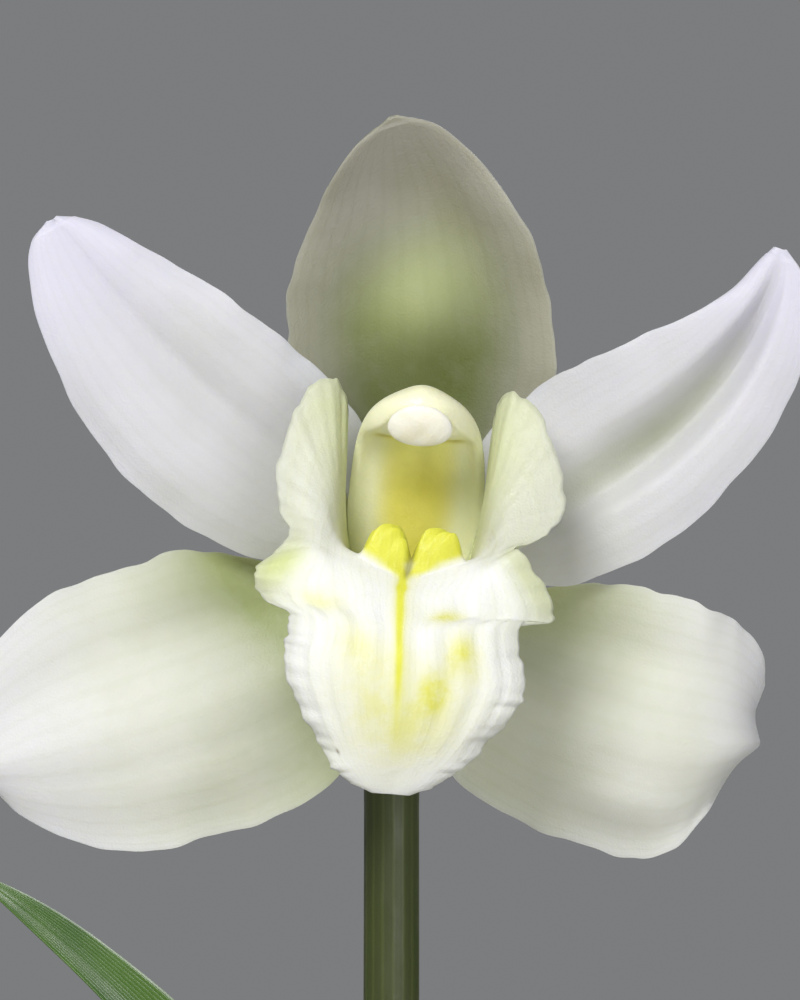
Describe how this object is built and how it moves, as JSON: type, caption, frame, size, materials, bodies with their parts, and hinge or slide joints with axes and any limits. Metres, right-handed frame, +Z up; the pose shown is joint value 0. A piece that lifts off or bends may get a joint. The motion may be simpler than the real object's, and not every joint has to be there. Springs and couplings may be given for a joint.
{
  "type": "potted cymbidium orchid",
  "caption": "Potted orchid with one white flower on an upright stalk, arching strap leaves and pseudobulbs in a clay pot of bark mix.",
  "frame": {"origin": "middle of the flat foot of the clay pot", "axes": "+Z up along the pot's axis; the flower looks along -Y; +X is to the right of someone who looks at the flower"},
  "size_m": [0.4162, 0.1743, 0.4079],
  "materials": {
    "clay": "matte",
    "bark": "matte",
    "bulb": "satin",
    "root": "matte",
    "leaf": "satin",
    "stalk": "satin",
    "bract": "matte",
    "sepal": "satin",
    "petal": "satin",
    "lip": "satin",
    "column": "satin",
    "anther_cap": "satin"
  },
  "bodies": {
    "root": {"anther_cap": "anther_cap", "bark_mix": "bark", "column": "column", "dorsal_sepal": "sepal", "flower_stalk": "stalk", "lateral_sepal_left": "sepal", "lateral_sepal_right": "sepal", "leaf_01": "leaf", "leaf_02": "leaf", "leaf_03": "leaf", "leaf_04": "leaf", "leaf_05": "leaf", "leaf_06": "leaf", "leaf_07": "leaf", "leaf_08": "leaf", "leaf_09": "leaf", "leaf_10": "leaf", "leaf_11": "leaf", "leaf_12": "leaf", "leaf_13": "leaf", "leaf_14": "leaf", "leaf_15": "leaf", "leaf_16": "leaf", "lip": "lip", "ovary": "stalk", "petal_left": "petal", "petal_right": "petal", "pot": "clay", "pseudobulb_front": "bulb", "pseudobulb_old": "bulb", "pseudobulb_rear": "bulb", "rhizome_left": "bulb", "rhizome_right": "bulb", "root_1": "root", "root_2": "root", "root_3": "root", "root_4": "root", "root_5": "root", "stalk_bract_1": "bract", "stalk_bract_2": "bract", "stalk_bract_3": "bract", "stalk_bract_4": "bract", "stalk_bract_5": "bract"}
  },
  "joints": []
}
